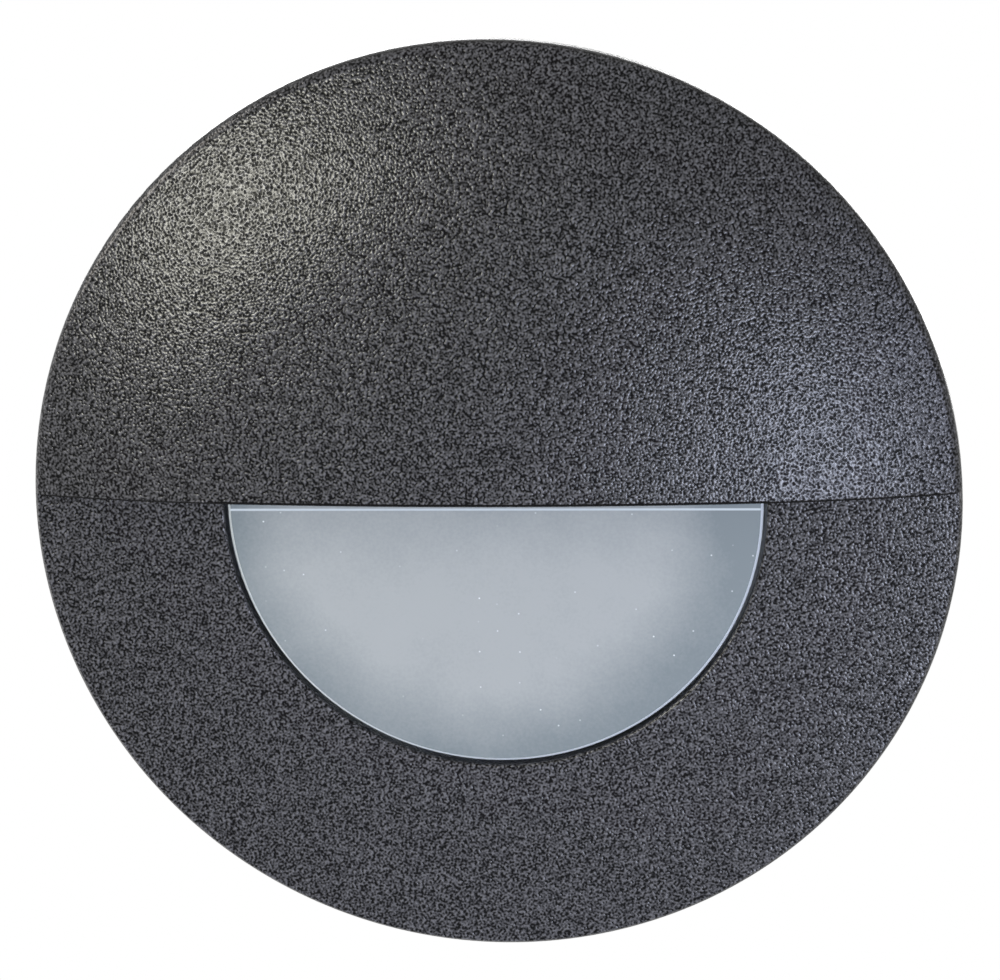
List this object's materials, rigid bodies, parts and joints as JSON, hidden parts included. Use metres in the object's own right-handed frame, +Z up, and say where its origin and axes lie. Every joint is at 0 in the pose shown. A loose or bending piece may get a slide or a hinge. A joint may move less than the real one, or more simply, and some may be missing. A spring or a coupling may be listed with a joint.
{
  "type": "step light",
  "caption": "Round recessed step light with an eyelid hood over a half-moon frosted lens, held in its wall hole by two sprung folding clips.",
  "frame": {"origin": "on the wall's face, where the light's axis meets it; the faceplate's back rim lies in this plane", "axes": "+Y into the wall along the light's axis, -Y out of the wall towards the viewer, +Z up, +X to the viewer's right"},
  "size_m": [0.09, 0.068, 0.09],
  "materials": {
    "powder_coat": "fine-textured anthracite powder coat on die-cast aluminium, satin matt",
    "foam": "closed-cell EPDM foam, matt black",
    "frosted_lens": "moulded polycarbonate with a frosted face, pale cool grey",
    "silicone": "moulded silicone, dark grey, matt",
    "stamped_steel": "stamped stainless sheet, rolled finish",
    "spring_steel": "drawn stainless spring wire",
    "screw_steel": "stainless pan-head screws",
    "white_plastic": "moulded white reflector plastic",
    "board_white": "aluminium-core board with white solder mask",
    "phosphor": "yellow phosphor in a silicone package",
    "gap_pad": "soft heat-conducting pad",
    "cast_aluminium": "bare die-cast aluminium, shot-blasted",
    "board_green": "glass-fibre circuit board",
    "brass_spacer": "turned brass",
    "winding_tape": "winding wrapped in polyester tape",
    "can_aluminium": "sleeved capacitor can",
    "terminal_grey": "moulded terminal block",
    "nylon_black": "moulded black nylon",
    "foot_rubber": "moulded rubber foot"
  },
  "bodies": {
    "root": {"faceplate": "powder_coat", "wall_gasket": "foam", "lens": "frosted_lens", "lens_gasket": "silicone", "lens_ring": "stamped_steel", "ring_screws": "screw_steel", "reflector": "white_plastic", "led_board": "board_white", "led_chips": "phosphor", "thermal_pad": "gap_pad", "board_screws": "screw_steel", "housing": "cast_aluminium", "housing_gasket": "silicone", "housing_screws": "screw_steel", "driver_board": "board_green", "driver_spacers": "brass_spacer", "driver_screws": "screw_steel", "transformer": "winding_tape", "capacitor": "can_aluminium", "terminal_block": "terminal_grey", "back_cover": "cast_aluminium", "cover_gasket": "silicone", "cover_screws": "screw_steel", "gland_body": "nylon_black", "gland_washer": "silicone", "gland_locknut": "nylon_black", "gland_bush": "silicone", "gland_nut": "nylon_black", "clip_bracket_left": "stamped_steel", "clip_screws_left": "screw_steel", "clip_pin_left": "screw_steel", "clip_spring_left": "spring_steel", "clip_bracket_right": "stamped_steel", "clip_screws_right": "screw_steel", "clip_pin_right": "screw_steel", "clip_spring_right": "spring_steel"},
    "clip_arm_body_left": {"clip_arm_left": "stamped_steel", "clip_foot_left": "foot_rubber"},
    "clip_arm_body_right": {"clip_arm_right": "stamped_steel", "clip_foot_right": "foot_rubber"}
  },
  "joints": [
    {"name": "clip_fold_left", "type": "hinge", "parent": "root", "child": "clip_arm_body_left", "pos_m": [-0.0298, 0.0275, 0], "axis": [0, 0, -1], "range_deg": [0, 155], "stiffness_Nm_per_rad": 0.096, "springref_deg": -60.16, "deforming": ["clip_spring_left"]},
    {"name": "clip_fold_right", "type": "hinge", "parent": "root", "child": "clip_arm_body_right", "pos_m": [0.0298, 0.0275, 0], "axis": [0, 0, 1], "range_deg": [0, 155], "stiffness_Nm_per_rad": 0.096, "springref_deg": -60.16, "deforming": ["clip_spring_right"]}
  ]
}
